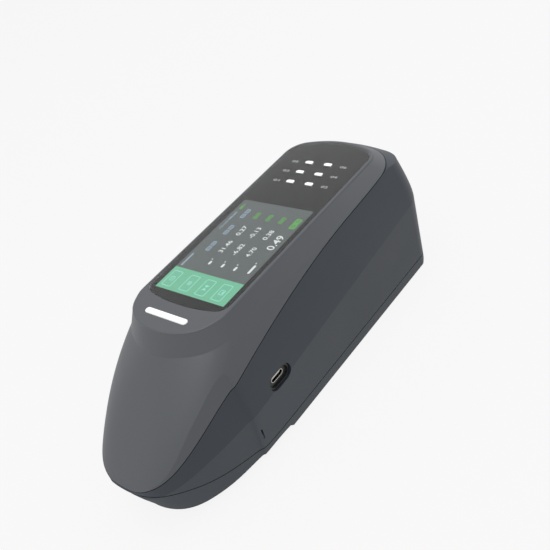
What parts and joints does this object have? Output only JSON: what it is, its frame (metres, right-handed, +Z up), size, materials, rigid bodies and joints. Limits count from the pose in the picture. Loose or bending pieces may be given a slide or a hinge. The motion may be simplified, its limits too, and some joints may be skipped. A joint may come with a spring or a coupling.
{
  "type": "handheld spectrophotometer",
  "caption": "Long hand-held colour measuring instrument: sloping nose, flat top with colour display, lit measure key and status lights, charging port in the side, measuring port underneath.",
  "frame": {"origin": "centre of the bounding box on the resting surface", "axes": "+Z up, nose with the measuring port towards -Y, rear towards +Y, charging port on the +X side"},
  "size_m": [0.076, 0.2261, 0.0846],
  "materials": {
    "shell_grey": "fine satin, moulded, cool grey",
    "shell_dark": "fine satin, moulded, dark blue grey",
    "shell_black": "satin black moulding",
    "cover_glass": "clear cover glass, printed dark from behind",
    "display_panel": "lit colour panel",
    "frame_plastic": "glass filled black moulding",
    "key_white": "white diffusing acrylic",
    "board_green": "solder masked glass fibre board",
    "part_black": "moulded epoxy",
    "plated_steel": "nickel plated sheet",
    "shield_metal": "tinned sheet can",
    "flex_amber": "polyimide flat cable",
    "cell_wrap": "heat shrink wrap over cells",
    "ring_black": "black anodised",
    "sphere_white": "sintered white diffuser",
    "lamp_clear": "clear epoxy lamp",
    "barrel_aluminium": "black anodised, machined",
    "lens_glass": "coated optical glass",
    "screw_steel": "zinc plated steel",
    "foot_rubber": "soft moulded rubber"
  },
  "bodies": {
    "housing": {"upper_shell": "shell_grey", "lower_shell": "shell_dark", "bottom_cover": "shell_dark", "screen_glass": "cover_glass", "display_module": "display_panel", "display_bracket": "frame_plastic", "key_board": "board_green", "key_switch": "part_black", "status_windows": "key_white", "status_board": "board_green", "usb_bezel": "shell_black", "usb_socket": "plated_steel", "usb_board": "board_green", "power_switch": "part_black", "inner_frame": "frame_plastic", "main_board": "board_green", "board_chips": "part_black", "radio_module": "shield_metal", "buzzer": "part_black", "display_cable": "flex_amber", "battery_hatch": "shell_dark", "battery_pack": "cell_wrap", "battery_board": "board_green", "port_ring": "ring_black", "sphere_lower": "sphere_white", "sphere_upper": "sphere_white", "lamp_board": "board_green", "lamp_leds": "lamp_clear", "lens_barrel": "barrel_aluminium", "view_lens": "lens_glass", "spectro_box": "barrel_aluminium", "spectro_lid": "barrel_aluminium", "entrance_slit": "plated_steel", "grating": "lens_glass", "sensor_board": "board_green", "cover_screws": "screw_steel", "rear_shell_screws": "screw_steel", "nose_shell_screws": "screw_steel", "board_screws": "screw_steel", "rubber_feet": "foot_rubber"},
    "measure_key": {"measure_key": "key_white"},
    "power_button": {"power_button": "shell_black"}
  },
  "joints": [
    {"name": "measure_key_press", "type": "slide", "parent": "housing", "child": "measure_key", "axis": [0, 0, -1], "range_m": [0, 0.0006], "stiffness_N_per_m": 2500, "springref_m": -0.0004},
    {"name": "power_button_press", "type": "slide", "parent": "housing", "child": "power_button", "axis": [1, 0, 0], "range_m": [0, 0.0005], "stiffness_N_per_m": 2500, "springref_m": -0.0004}
  ]
}
